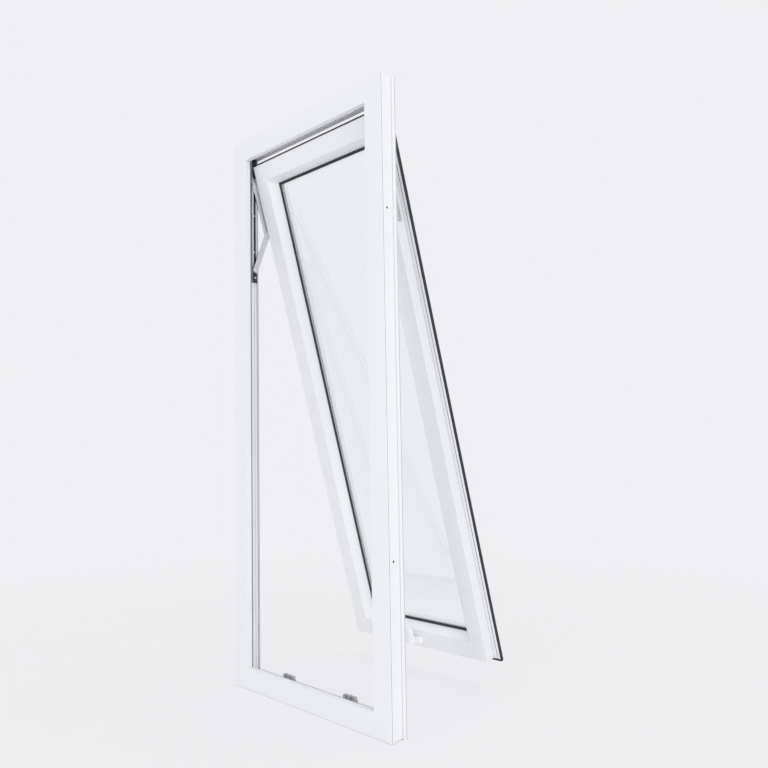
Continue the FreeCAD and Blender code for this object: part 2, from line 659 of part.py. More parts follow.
# Two keeps on the sill for the sash's lock: a base with three lugs.
for side_name, side in (("left", -1.0), ("right", 1.0)):
    keep = new_body(side_name + "_keep")
    foot = add_sketch(keep, "XZ_Plane")
    add_rectangle(foot, -(keep_length / 2), keep_length / 2, zero, keep_base)
    pad(keep, foot, keep_depth)
    lugs = add_sketch(keep, "XZ_Plane")
    for lug_x in (-lug_pitch, zero, lug_pitch):
        add_rectangle(lugs, lug_x - lug_length / 2, lug_x + lug_length / 2, keep_base, keep_height)
    pad(keep, lugs, keep_depth)
    place(keep, (side * keep_offset, frame_depth - keep_rear_gap, rebate_floor))

doc.recompute()

# Every object is checked before anything is written.
for item in doc.Objects:
    if "Invalid" in item.State or "Error" in item.State:
        raise RuntimeError(item.Label + " failed: " + str(item.State))
bodies = [item for item in doc.Objects if item.TypeId == "PartDesign::Body"]
for body in bodies:
    if body.Shape.isNull() or not body.Shape.isValid() or len(body.Shape.Solids) != 1:
        raise RuntimeError(body.Label + " is not one valid solid")

os.makedirs("parts", exist_ok=True)
for body in bodies:
    body.Shape.exportStep("parts/" + body.Label + ".step")
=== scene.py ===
# %% [markdown]
# # A top hung awning window
# The window is a tall white frame with a double glazed sash that hangs from the top and stands open at the
# bottom. Its pieces come from the CAD model in their real places and sizes, so this lesson gives them their
# finishes, adds the small fasteners and the thin trim that a construction drawing leaves out, and sets up
# the light and camera.

# %% Load the frame
import json
import math

import bmesh
import bpy
from mathutils import Matrix, Vector


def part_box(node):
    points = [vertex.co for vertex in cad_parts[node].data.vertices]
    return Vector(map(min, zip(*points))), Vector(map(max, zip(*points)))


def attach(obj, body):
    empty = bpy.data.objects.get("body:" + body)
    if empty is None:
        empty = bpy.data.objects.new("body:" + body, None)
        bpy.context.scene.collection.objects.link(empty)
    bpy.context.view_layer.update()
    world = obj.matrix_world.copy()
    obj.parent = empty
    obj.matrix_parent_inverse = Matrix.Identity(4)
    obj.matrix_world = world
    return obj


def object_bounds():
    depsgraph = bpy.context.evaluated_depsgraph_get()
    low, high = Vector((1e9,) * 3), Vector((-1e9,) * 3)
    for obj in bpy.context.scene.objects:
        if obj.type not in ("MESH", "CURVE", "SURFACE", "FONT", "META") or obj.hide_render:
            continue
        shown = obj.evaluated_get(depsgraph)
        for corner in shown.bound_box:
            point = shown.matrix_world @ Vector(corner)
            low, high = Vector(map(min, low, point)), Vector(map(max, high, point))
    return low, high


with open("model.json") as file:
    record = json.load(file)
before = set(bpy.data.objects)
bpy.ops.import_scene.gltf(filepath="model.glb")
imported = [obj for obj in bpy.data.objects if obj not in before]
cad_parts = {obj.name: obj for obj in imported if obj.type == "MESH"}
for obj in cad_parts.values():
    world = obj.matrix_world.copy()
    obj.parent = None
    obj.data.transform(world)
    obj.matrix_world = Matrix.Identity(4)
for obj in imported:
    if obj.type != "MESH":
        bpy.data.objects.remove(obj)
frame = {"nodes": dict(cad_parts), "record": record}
cad_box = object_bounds()
nodes = frame["nodes"]
scene = bpy.context.scene
scene.view_settings.view_transform = "Standard"
MM = 0.001
print("nodes loaded:", len(nodes))

# %% [markdown]
# ## The camera
# A camera is a place, a direction and a lens. The photograph was taken from the room side, well to the right
# and a little below the middle, so the jambs lean apart slightly. The numbers were found by lining up the
# frame's corners with the photograph, and they are kept here as angles because those read most easily.

# %% Place the camera
CAMERA_PLACE_MM = (1503.0, -1179.0, 651.0)
CAMERA_YAW = math.radians(45.70)
CAMERA_PITCH = math.radians(4.33)
CAMERA_ROLL = math.radians(1.01)
SENSOR_MM = 36.0
IMAGE_PIXELS = 768
FOCAL_PIXELS = 759.0

camera_data = bpy.data.cameras.new("camera")
camera_data.sensor_width = SENSOR_MM
camera_data.lens = FOCAL_PIXELS * SENSOR_MM / IMAGE_PIXELS
camera = bpy.data.objects.new("camera", camera_data)
scene.collection.objects.link(camera)
turn = Matrix.Rotation(CAMERA_YAW, 4, "Z") @ Matrix.Rotation(math.pi / 2 + CAMERA_PITCH, 4, "X")
turn = turn @ Matrix.Rotation(-CAMERA_ROLL, 4, "Z")
camera.matrix_world = Matrix.Translation(Vector(CAMERA_PLACE_MM) * MM) @ turn
scene.camera = camera
print("lens", round(camera_data.lens, 2), "mm")

# %% [markdown]
# ## Helpers for materials
# Colours are easiest to compare with a photograph as sRGB hex values, but shaders count in linear light, so
# one function turns one into the other. A second function adds a node with its settings and its links in one
# line, which keeps each material below short enough to read as a recipe. A third starts a material, and the
# last one picks out the rays that see the backdrop, which the floor and the world both ask for.

# %% Colour and node helpers
def linear(hex_colour):
    """An sRGB hex colour as the linear numbers that shaders use."""
    channels = [int(hex_colour[i:i + 2], 16) / 255 for i in (1, 3, 5)]
    curved = [c / 12.92 if c <= 0.04045 else ((c + 0.055) / 1.055) ** 2.4 for c in channels]
    return (*curved, 1.0)


def add_node(tree, kind, settings=(), links=()):
    """Adds a node. Settings are (name, value) pairs, links are (input, output socket) pairs."""
    node = tree.nodes.new(kind)
    for name, value in settings:
        if name in node.inputs:
            node.inputs[name].default_value = value
        else:
            setattr(node, name, value)
    for name, socket in links:
        tree.links.new(socket, node.inputs[name])
    return node


def new_finish(name, settings):
    """A material with its main shader's own sockets set: returns the material, its tree and the shader."""
    material = bpy.data.materials.new(name)
    material.use_nodes = True
    shader = material.node_tree.nodes["Principled BSDF"]
    for socket, value in settings:
        shader.inputs[socket].default_value = value
    return material, material.node_tree, shader


def backdrop_rays(tree):
    """A socket that is 1 for the camera's rays, for mirrored ones and for those through glass."""
    ray = add_node(tree, "ShaderNodeLightPath")
    mirrored = add_node(tree, "ShaderNodeMath", [("operation", "MAXIMUM")])
    tree.links.new(ray.outputs["Is Glossy Ray"], mirrored.inputs[0])
    tree.links.new(ray.outputs["Is Transmission Ray"], mirrored.inputs[1])
    seen = add_node(tree, "ShaderNodeMath", [("operation", "MAXIMUM")])
    tree.links.new(ray.outputs["Is Camera Ray"], seen.inputs[0])
    tree.links.new(mirrored.outputs["Value"], seen.inputs[1])
    return seen.outputs["Value"]


print("white reads as", [round(c, 3) for c in linear("#F0F2F5")])

# %% [markdown]
# ## The pale floor
# A white product is often photographed on white paper, with no line between floor and wall. A curved sheet
# would do that from one side only. Here the paper is a round sheet that fades out with its distance from the
# window, so it runs into the world's own colour on every side. The camera sees it partly as plain white and
# partly as lit paper, so that it stays pale and still takes the window's shadow.

# %% White paper
# The share of what is seen that is plain white. The rest is lit paper, which takes the shadow.
PAPER_GLOW_SHARE = 0.72
PAPER_GREY = linear("#EFEFF1")

paper, paper_tree, paper_shader = new_finish(
    "matt_white_paper", [("Base Color", linear("#F4F4F5")), ("Roughness", 0.95), ("Specular IOR Level", 0.1)])
paper_glow = add_node(paper_tree, "ShaderNodeEmission", [("Color", PAPER_GREY), ("Strength", 1.0)])
glow_share = add_node(paper_tree, "ShaderNodeMapRange", [("To Max", PAPER_GLOW_SHARE)],
                      [("Value", backdrop_rays(paper_tree))])
paper_mix = add_node(paper_tree, "ShaderNodeMixShader", (), [("Fac", glow_share.outputs["Result"])])
paper_tree.links.new(paper_shader.outputs["BSDF"], paper_mix.inputs[1])
paper_tree.links.new(paper_glow.outputs["Emission"], paper_mix.inputs[2])
print("paper glow share", PAPER_GLOW_SHARE)

# %% Fade the paper out and lay it down
FLOOR_RADIUS = 3.0
FLOOR_SOLID_SHARE = 0.25
FLOOR_CLEAR_SHARE = 0.95
FLOOR_EDGE_STEPS = 96

paper_place = add_node(paper_tree, "ShaderNodeTexCoord")
paper_spread = add_node(paper_tree, "ShaderNodeVectorMath",
                        [("operation", "LENGTH")], [("Vector", paper_place.outputs["Object"])])
paper_fade = add_node(paper_tree, "ShaderNodeMapRange",
                      [("interpolation_type", "SMOOTHERSTEP"),
                       ("From Min", FLOOR_RADIUS * FLOOR_SOLID_SHARE),
                       ("From Max", FLOOR_RADIUS * FLOOR_CLEAR_SHARE)],
                      [("Value", paper_spread.outputs["Value"])])
paper_clear = add_node(paper_tree, "ShaderNodeBsdfTransparent")
paper_edge = add_node(paper_tree, "ShaderNodeMixShader", (), [("Fac", paper_fade.outputs["Result"])])
paper_tree.links.new(paper_mix.outputs["Shader"], paper_edge.inputs[1])
paper_tree.links.new(paper_clear.outputs["BSDF"], paper_edge.inputs[2])
paper_tree.links.new(paper_edge.outputs["Shader"], paper_tree.nodes["Material Output"].inputs["Surface"])

bpy.ops.mesh.primitive_circle_add(vertices=FLOOR_EDGE_STEPS, radius=FLOOR_RADIUS, fill_type="NGON")
floor = bpy.context.object
floor.name = "paper_floor"
floor.data.materials.append(paper)
print("floor radius", FLOOR_RADIUS, "m")

# %% [markdown]
# ## Studio light
# White aluminium shows its shape only by small steps of grey, so the light has to be soft but not the same
# from everywhere. An even white world gives most of it, as a tent of white cloth does in a studio. A weak
# lamp at the side lights the faces that look along the sill. Another in front shines through the opening on
# to the sash and leaves the right stile in the right jamb's shade, as the photograph shows it. A third one,
# above and behind, brightens the sill's upper edge and misses the front. Together they bring a white to
# about the level at which it is written.

# %% World
FILL_STRENGTH = 0.79

world = bpy.data.worlds.new("white_studio")
world.use_nodes = True
world_tree = world.node_tree
fill = world_tree.nodes["Background"]
fill.inputs["Color"].default_value = linear("#FFFFFF")
fill.inputs["Strength"].default_value = FILL_STRENGTH
# What the camera sees, and what glass and metal mirror, is the paper's own pale grey.
paper_wall = add_node(world_tree, "ShaderNodeBackground", [("Color", PAPER_GREY), ("Strength", 1.0)])
world_mix = add_node(world_tree, "ShaderNodeMixShader", (), [("Fac", backdrop_rays(world_tree))])
world_tree.links.new(fill.outputs["Background"], world_mix.inputs[1])
world_tree.links.new(paper_wall.outputs["Background"], world_mix.inputs[2])
world_tree.links.new(world_mix.outputs["Shader"], world_tree.nodes["World Output"].inputs["Surface"])
scene.world = world
print("world fill", FILL_STRENGTH)

# %% Lamps
LAMP_AIM = Vector((0.0, 0.1, 0.8))
# Where each lamp stands in metres, the side of its square face in metres, and its watts.
LAMPS = {"front_lamp": (Vector((1.3, -4.95, 1.2)), 1.0, 27.0),
         "side_lamp": (Vector((5.0, -1.35, 1.2)), 2.0, 49.0),
         "top_lamp": (Vector((0.6, 0.7, 4.6)), 1.5, 18.0)}

for name, (place, size, watts) in LAMPS.items():
    lamp_data = bpy.data.lights.new(name, "AREA")
    lamp_data.size = size
    lamp_data.energy = watts
    lamp = bpy.data.objects.new(name, lamp_data)
    lamp.matrix_world = (Matrix.Translation(place)
                         @ (LAMP_AIM - place).to_track_quat("-Z", "Y").to_matrix().to_4x4())
    # A studio lamp stands out of sight, also for someone who looks through the panes.
    lamp.visible_camera = False
    lamp.visible_transmission = False
    scene.collection.objects.link(lamp)
    print(name, "stands", round((LAMP_AIM - place).length, 2), "m away")

# %% [markdown]
# ## White powder coat
# The frame, the sash and the beads are aluminium extrusions with a polyester powder coat: powder sprayed on
# dry, then melted in an oven. It gives a clean, slightly cool white with a half gloss, and the melt leaves a
# faint ripple that painters call orange peel. A bump from a noise pattern makes that ripple. Shade is painted
# into the coat: it turns a bluish grey by how shut in each spot is, and that draws the grooves and seams.

# %% Powder coat
# Orange peel has waves of about 2 mm. At this distance a pixel covers more than that, so it is drawn coarser.
PEEL_WAVE_MM = 7.0
BLUSH_WAVE_MM = 260.0
# Shade is painted into grooves and seams that are narrower than this.
SEAM_REACH_MM = 4.0

powder_coat, coat_tree, coat_shader = new_finish("white_powder_coat", [("IOR", 1.5)])
coat_place = add_node(coat_tree, "ShaderNodeTexCoord")
coat_blush = add_node(coat_tree, "ShaderNodeTexNoise", [("Scale", 1 / (BLUSH_WAVE_MM * MM)), ("Detail", 3.0)],
                      [("Vector", coat_place.outputs["Object"])])
coat_tone = add_node(coat_tree, "ShaderNodeMixRGB",
                     [("name", "tone"), ("Color1", linear("#F0F2F5")), ("Color2", linear("#F4F5F7"))],
                     [("Fac", coat_blush.outputs["Fac"])])
coat_seam = add_node(coat_tree, "ShaderNodeAmbientOcclusion",
                     [("samples", 8), ("Distance", SEAM_REACH_MM * MM)])
coat_unshaded_share = add_node(coat_tree, "ShaderNodeMapRange", [("From Min", 0.1), ("From Max", 0.72)],
                      [("Value", coat_seam.outputs["AO"])])
# Painted shade: a bluish grey is mixed into the coat where the spot is shut in.
coat_painted_shade = add_node(coat_tree, "ShaderNodeMixRGB", [("name", "crevice_shade"), ("Color1", linear("#56606C"))],
                      [("Fac", coat_unshaded_share.outputs["Result"]), ("Color2", coat_tone.outputs["Color"])])
coat_peel = add_node(coat_tree, "ShaderNodeTexNoise", [("Scale", 1 / (PEEL_WAVE_MM * MM)), ("Detail", 1.0)],
                     [("Vector", coat_place.outputs["Object"])])
coat_gloss = add_node(coat_tree, "ShaderNodeMapRange", [("To Min", 0.32), ("To Max", 0.44)],
                      [("Value", coat_peel.outputs["Fac"])])
coat_ripple = add_node(coat_tree, "ShaderNodeBump", [("Strength", 0.12), ("Distance", 0.05 * MM)],
                       [("Height", coat_peel.outputs["Fac"])])
coat_tree.links.new(coat_painted_shade.outputs["Color"], coat_shader.inputs["Base Color"])
coat_tree.links.new(coat_gloss.outputs["Result"], coat_shader.inputs["Roughness"])
coat_tree.links.new(coat_ripple.outputs["Normal"], coat_shader.inputs["Normal"])
print("orange peel drawn at", PEEL_WAVE_MM, "mm")

# %% The beads' coat
# Painted light: the beads' coat is a whiter copy of the frame's, standing in for light on their faces that
# look down or along the glass, and the shade painted into their grooves is much paler.
bead_coat_painted_lighter = powder_coat.copy()
bead_coat_painted_lighter.name = "white_powder_coat_painted_lighter"
bead_lighter_tone = bead_coat_painted_lighter.node_tree.nodes["tone"]
bead_lighter_tone.inputs["Color1"].default_value = linear("#F8F9FC")
bead_lighter_tone.inputs["Color2"].default_value = linear("#FBFCFD")
# The beads' painted crevice shade is a pale grey.
bead_coat_painted_lighter.node_tree.nodes["crevice_shade"].inputs["Color1"].default_value = linear("#E4E6E9")
print("bead finish:", bead_coat_painted_lighter.name)

# %% [markdown]
# ## Lacquered zinc for the handle
# A window handle is cast in zinc and lacquered white. The casting is smooth and the lacquer flows out more
# than powder does, so it is glossier than the frame. A clear coat over the same white gives its sharper light
# edge, and a long, low wave keeps the highlight from looking machined.

# %% Handle lacquer
LACQUER_WAVE_MM = 18.0

lacquer, lacquer_tree, lacquer_shader = new_finish(
    "lacquered_zinc_casting", [("Base Color", linear("#FCFCFD")), ("IOR", 1.5), ("Coat Weight", 0.4),
                               ("Coat Roughness", 0.12)])
lacquer_place = add_node(lacquer_tree, "ShaderNodeTexCoord")
lacquer_wave = add_node(lacquer_tree, "ShaderNodeTexNoise", [("Scale", 1 / (LACQUER_WAVE_MM * MM))],
                        [("Vector", lacquer_place.outputs["Object"])])
lacquer_gloss = add_node(lacquer_tree, "ShaderNodeMapRange", [("To Min", 0.22), ("To Max", 0.32)],
                         [("Value", lacquer_wave.outputs["Fac"])])
lacquer_flow = add_node(lacquer_tree, "ShaderNodeBump", [("Strength", 0.1), ("Distance", 0.1 * MM)],
                        [("Height", lacquer_wave.outputs["Fac"])])
lacquer_tree.links.new(lacquer_gloss.outputs["Result"], lacquer_shader.inputs["Roughness"])
lacquer_tree.links.new(lacquer_flow.outputs["Normal"], lacquer_shader.inputs["Normal"])
print("lacquer wave", LACQUER_WAVE_MM, "mm")

# %% [markdown]
# ## Black rubber gaskets
# Glazing gaskets are extruded EPDM rubber. It is close to black with a soft, greasy sheen, and the die leaves
# fine lines along it with patches of grey bloom. The gaskets are only a few millimetres wide here, so most of
# what shows is how dark they are: the noise only breaks up that black a little.

# %% EPDM rubber
BLOOM_WAVE_MM = 45.0

rubber, rubber_tree, rubber_shader = new_finish("extruded_epdm_rubber", [("IOR", 1.5)])
rubber_place = add_node(rubber_tree, "ShaderNodeTexCoord")
rubber_bloom = add_node(rubber_tree, "ShaderNodeTexNoise",
                        [("Scale", 1 / (BLOOM_WAVE_MM * MM)), ("Detail", 4.0)],
                        [("Vector", rubber_place.outputs["Object"])])
rubber_tone = add_node(rubber_tree, "ShaderNodeMixRGB",
                       [("Color1", linear("#191A1D")), ("Color2", linear("#2A2C31"))],
                       [("Fac", rubber_bloom.outputs["Fac"])])
rubber_sheen = add_node(rubber_tree, "ShaderNodeMapRange", [("To Min", 0.5), ("To Max", 0.68)],
                        [("Value", rubber_bloom.outputs["Fac"])])
rubber_tree.links.new(rubber_tone.outputs["Color"], rubber_shader.inputs["Base Color"])
rubber_tree.links.new(rubber_sheen.outputs["Result"], rubber_shader.inputs["Roughness"])
print("rubber bloom", BLOOM_WAVE_MM, "mm")

# %% [markdown]
# ## Clear float glass
# The two panes are real solids, so light bends and reflects at all four faces, as in a sealed unit. Clear
# glass needs no tint at this thickness. Toughened panes ride on rollers in the furnace and keep a faint wave
# from them, which a very low bump gives to whatever is mirrored in the glass. Bounced light seldom finds its
# way through four bending faces, so for that light and for shadows the panes are simply clear.

# %% Float glass
ROLLER_WAVE_MM = 300.0

glass, glass_tree, glass_shader = new_finish(
    "clear_float_glass", [("Base Color", linear("#FDFEFE")), ("Roughness", 0.0), ("IOR", 1.5),
                          ("Transmission Weight", 1.0)])
glass_place = add_node(glass_tree, "ShaderNodeTexCoord")
glass_wave = add_node(glass_tree, "ShaderNodeTexNoise",
                      [("Scale", 1 / (ROLLER_WAVE_MM * MM)), ("Detail", 0.0)],
                      [("Vector", glass_place.outputs["Object"])])
glass_ripple = add_node(glass_tree, "ShaderNodeBump", [("Strength", 0.05), ("Distance", 0.2 * MM)],
                        [("Height", glass_wave.outputs["Fac"])])
glass_tree.links.new(glass_ripple.outputs["Normal"], glass_shader.inputs["Normal"])
glass_ray = add_node(glass_tree, "ShaderNodeLightPath")
# A ray that has passed a pane counts as glossy too, so those are taken off to leave the mirrored ones.
glass_mirrored = add_node(glass_tree, "ShaderNodeMath", [("operation", "SUBTRACT")])
glass_tree.links.new(glass_ray.outputs["Is Glossy Ray"], glass_mirrored.inputs[0])
glass_tree.links.new(glass_ray.outputs["Is Transmission Ray"], glass_mirrored.inputs[1])
glass_bounced = add_node(glass_tree, "ShaderNodeMath", [("operation", "MAXIMUM")])
glass_tree.links.new(glass_mirrored.outputs["Value"], glass_bounced.inputs[0])
glass_tree.links.new(glass_ray.outputs["Is Diffuse Ray"], glass_bounced.inputs[1])
glass_soft = add_node(glass_tree, "ShaderNodeMath", [("operation", "MAXIMUM")])
glass_tree.links.new(glass_ray.outputs["Is Shadow Ray"], glass_soft.inputs[0])
glass_tree.links.new(glass_bounced.outputs["Value"], glass_soft.inputs[1])
glass_clear = add_node(glass_tree, "ShaderNodeBsdfTransparent", [("Color", linear("#FBFCFC"))])
glass_mix = add_node(glass_tree, "ShaderNodeMixShader", (), [("Fac", glass_soft.outputs["Value"])])
glass_tree.links.new(glass_shader.outputs["BSDF"], glass_mix.inputs[1])
glass_tree.links.new(glass_clear.outputs["BSDF"], glass_mix.inputs[2])
glass_tree.links.new(glass_mix.outputs["Shader"], glass_tree.nodes["Material Output"].inputs["Surface"])
print("roller wave", ROLLER_WAVE_MM, "mm")

# %% [markdown]
# ## Brushed stainless steel
# The friction stays are stamped from stainless strip. Strip is brushed along its length at the mill, and the
# lines stretch each highlight sideways. The same noise, squeezed across the strip and drawn out along it,
# changes both the shine and the tone, so that a bar a few millimetres wide still looks like metal. Behind the
# track's lips the steel's colour is made dark.

# %% Stainless strip
# Real brush lines are near 0.1 mm apart, too fine for a bar that is six pixels wide, so they are drawn
# coarser.
BRUSH_LINE_MM = 1.2
BRUSH_LENGTH_MM = 60.0
# The tracks' lips lie between these distances from the window's middle. Behind them the metal's colour is
# made dark.
TRACK_LIP_FACE_MM = 254.6
TRACK_LIP_REAR_MM = 255.7

steel, steel_tree, steel_shader = new_finish("brushed_stainless_strip", [("Metallic", 1.0)])
steel_place = add_node(steel_tree, "ShaderNodeTexCoord")
steel_stretch = add_node(steel_tree, "ShaderNodeMapping",
                         [("Scale", (1 / (BRUSH_LINE_MM * MM), 1 / (BRUSH_LINE_MM * MM),
                                     1 / (BRUSH_LENGTH_MM * MM)))],
                         [("Vector", steel_place.outputs["Object"])])
steel_lines = add_node(steel_tree, "ShaderNodeTexNoise", [("Scale", 1.0), ("Detail", 2.0)],
                       [("Vector", steel_stretch.outputs["Vector"])])
steel_tone = add_node(steel_tree, "ShaderNodeMixRGB",
                      [("Color1", linear("#D0D2D5")), ("Color2", linear("#EAEBED"))],
                      [("Fac", steel_lines.outputs["Fac"])])
steel_shine = add_node(steel_tree, "ShaderNodeMapRange", [("To Min", 0.24), ("To Max", 0.42)],
                       [("Value", steel_lines.outputs["Fac"])])
steel_sides = add_node(steel_tree, "ShaderNodeSeparateXYZ", (), [("Vector", steel_place.outputs["Object"])])
steel_depth = add_node(steel_tree, "ShaderNodeMath", [("operation", "ABSOLUTE")])
steel_tree.links.new(steel_sides.outputs["X"], steel_depth.inputs[0])
# Behind the track's lips the steel's colour is made dark.
steel_inside_share = add_node(steel_tree, "ShaderNodeMapRange",
                        [("From Min", TRACK_LIP_FACE_MM * MM), ("From Max", TRACK_LIP_REAR_MM * MM)],
                        [("Value", steel_depth.outputs["Value"])])
steel_darkened_inside = add_node(steel_tree, "ShaderNodeMixRGB", [("Color2", linear("#46484C"))],
                         [("Fac", steel_inside_share.outputs["Result"]), ("Color1", steel_tone.outputs["Color"])])
steel_tree.links.new(steel_darkened_inside.outputs["Color"], steel_shader.inputs["Base Color"])
steel_tree.links.new(steel_shine.outputs["Result"], steel_shader.inputs["Roughness"])
print("brush lines drawn at", BRUSH_LINE_MM, "mm")

# %% [markdown]
# ## Cast zinc keeps
# The two keeps on the sill are small castings, plated and passivated. That turns them a dull, uneven grey,
# darker than the stays, so a mottled tone with a fairly rough metal shader fits better than more steel. The
# screws of the keeps and of the tracks are plated in the same way and get the same finish.

# %% Passivated zinc
MOTTLE_MM = 6.0

zinc, zinc_tree, zinc_shader = new_finish("passivated_zinc_casting", [("Metallic", 1.0)])
zinc_place = add_node(zinc_tree, "ShaderNodeTexCoord")
zinc_mottle = add_node(zinc_tree, "ShaderNodeTexNoise", [("Scale", 1 / (MOTTLE_MM * MM)), ("Detail", 3.0)],
                       [("Vector", zinc_place.outputs["Object"])])
zinc_tone = add_node(zinc_tree, "ShaderNodeMixRGB",
                     [("Color1", linear("#AEB0B3")), ("Color2", linear("#D4D5D7"))],
                     [("Fac", zinc_mottle.outputs["Fac"])])
zinc_dull = add_node(zinc_tree, "ShaderNodeMapRange", [("To Min", 0.4), ("To Max", 0.6)],
                     [("Value", zinc_mottle.outputs["Fac"])])
zinc_tree.links.new(zinc_tone.outputs["Color"], zinc_shader.inputs["Base Color"])
zinc_tree.links.new(zinc_dull.outputs["Result"], zinc_shader.inputs["Roughness"])
print("zinc mottle", MOTTLE_MM, "mm")

# %% [markdown]
# ## Spacer, seal and end blocks
# Three small materials are left. The bar between the panes is rolled aluminium, left dull as it comes from
# the mill, with a row of pinholes towards the cavity. The seal outside is white silicone smoothed by hand,
# and the stays end in moulded nylon blocks.

# %% Rolled aluminium spacer
# The pinholes are under a millimetre wide, so they are drawn as rows of soft dots, larger and farther apart.
PINHOLE_PITCH_MM = 6.0

spacer, spacer_tree, spacer_shader = new_finish(
    "rolled_mill_aluminium", [("Metallic", 1.0), ("Roughness", 0.4)])
spacer_place = add_node(spacer_tree, "ShaderNodeTexCoord")
spacer_dots = add_node(spacer_tree, "ShaderNodeTexVoronoi",
                       [("Scale", 1 / (PINHOLE_PITCH_MM * MM)), ("Randomness", 0.0)],
                       [("Vector", spacer_place.outputs["Object"])])
spacer_hole = add_node(spacer_tree, "ShaderNodeMapRange", [("From Min", 0.1), ("From Max", 0.2)],
                       [("Value", spacer_dots.outputs["Distance"])])
spacer_tone = add_node(spacer_tree, "ShaderNodeMixRGB",
                       [("Color1", linear("#9A9C9F")), ("Color2", linear("#C2C4C7"))],
                       [("Fac", spacer_hole.outputs["Result"])])
spacer_tree.links.new(spacer_tone.outputs["Color"], spacer_shader.inputs["Base Color"])
print("pinholes drawn at", PINHOLE_PITCH_MM, "mm")

# %% White silicone and black nylon
TOOLING_WAVE_MM = 30.0
SPARK_GRAIN_MM = 1.0

silicone, silicone_tree, silicone_shader = new_finish(
    "tooled_white_silicone", [("Base Color", linear("#F8F8F8")), ("Roughness", 0.5), ("IOR", 1.41),
                              ("Subsurface Weight", 0.1), ("Subsurface Scale", 1.0 * MM)])
silicone_place = add_node(silicone_tree, "ShaderNodeTexCoord")
silicone_wave = add_node(silicone_tree, "ShaderNodeTexNoise", [("Scale", 1 / (TOOLING_WAVE_MM * MM))],
                         [("Vector", silicone_place.outputs["Object"])])
silicone_flow = add_node(silicone_tree, "ShaderNodeBump", [("Strength", 0.3), ("Distance", 0.3 * MM)],
                         [("Height", silicone_wave.outputs["Fac"])])
silicone_tree.links.new(silicone_flow.outputs["Normal"], silicone_shader.inputs["Normal"])

nylon, nylon_tree, nylon_shader = new_finish(
    "moulded_black_nylon", [("Base Color", linear("#1B1C1E")), ("Roughness", 0.5), ("IOR", 1.53)])
nylon_place = add_node(nylon_tree, "ShaderNodeTexCoord")
nylon_grain = add_node(nylon_tree, "ShaderNodeTexNoise", [("Scale", 1 / (SPARK_GRAIN_MM * MM))],
                       [("Vector", nylon_place.outputs["Object"])])
nylon_bump = add_node(nylon_tree, "ShaderNodeBump", [("Strength", 0.4), ("Distance", 0.1 * MM)],
                      [("Height", nylon_grain.outputs["Fac"])])
nylon_tree.links.new(nylon_bump.outputs["Normal"], nylon_shader.inputs["Normal"])
print("tooling wave", TOOLING_WAVE_MM, "mm, nylon grain", SPARK_GRAIN_MM, "mm")

# %% [markdown]
# ## Give each piece its finish
# The record says which material slot each piece of the model uses, so one table from slot to finish covers
# all of them but the beads, and a piece that moves to another slot gets its new finish without a change here.

# %% Assign the finishes
FINISH_OF_SLOT = {
    "white_aluminium": powder_coat, "black_rubber": rubber, "clear_glass": glass, "stainless_steel": steel,
    "spacer_aluminium": spacer, "white_silicone": silicone, "black_plastic": nylon, "white_lacquer": lacquer,
    "dark_zinc": zinc}

slot_of = {subpart["node"]: subpart["material_slot"] for subpart in frame["record"]["subparts"]}
for name, piece in nodes.items():
    piece.data.materials.clear()
    is_bead = name.endswith("glazing_bead")
    piece.data.materials.append(bead_coat_painted_lighter if is_bead else FINISH_OF_SLOT[slot_of[name]])
print("finishes given to", len(slot_of), "pieces")

# %% [markdown]
# ## Screw and rivet heads
# Fasteners are turned shapes: a profile spun about its axis. A rivet is just that, and a screw gets a cross
# pressed into its top. Building them point by point in a mesh keeps the recess real, so it catches a shadow
# from any side, and one small head can then be copied to every place that needs it.

# %% Turn a rivet or a screw head
HEAD_STEPS = 32
DOME_STEPS = 6
RIVET_RADIUS_MM = 4.5
RIVET_RISE_MM = 1.2


def turned(profile):
    """A mesh under construction, and its last ring: (radius, height) points turned about the Z axis."""
    shape = bmesh.new()
    rings = []
    for radius, height in profile:
        angles = [2 * math.pi * i / HEAD_STEPS for i in range(HEAD_STEPS)]
        rings.append([shape.verts.new((radius * math.cos(a), radius * math.sin(a), height)) for a in angles])
    for lower, upper in zip(rings, rings[1:]):
        for i in range(HEAD_STEPS):
            j = (i + 1) % HEAD_STEPS
            shape.faces.new((lower[i], lower[j], upper[j], upper[i]))
    return shape, rings[-1]


def finished(shape, name):
    """Closes the mesh's construction and returns it as mesh data."""
    mesh = bpy.data.meshes.new(name)
    bmesh.ops.recalc_face_normals(shape, faces=shape.faces)
    shape.to_mesh(mesh)
    shape.free()
    return mesh


def rivet_head(radius, height):
    """A low dome, as a rivet's pressed end is."""
    steps = [math.radians(90 * i / DOME_STEPS) for i in range(DOME_STEPS)]
    shape, ring = turned([(radius * math.cos(a), height * math.sin(a)) for a in steps])
    shape.faces.new(ring)
    return finished(shape, "rivet_head")


rivet = rivet_head(RIVET_RADIUS_MM * MM, RIVET_RISE_MM * MM)
print("rivet faces", len(rivet.polygons))

# %% Press the cross into a screw head
SCREW_RADIUS_MM = 3.0
SCREW_RISE_MM = 1.2
# A pan head from its seat up to its flat top, as shares of its radius and its height.
PAN_PROFILE = ((1.0, 0.0), (1.0, 0.45), (0.9, 0.85), (0.72, 1.0))
# The cross, as shares of the radius and, for its depth, of the height.
CROSS_HALF_WIDTH = 0.13
CROSS_REACH = 0.5
CROSS_DEPTH = 0.7


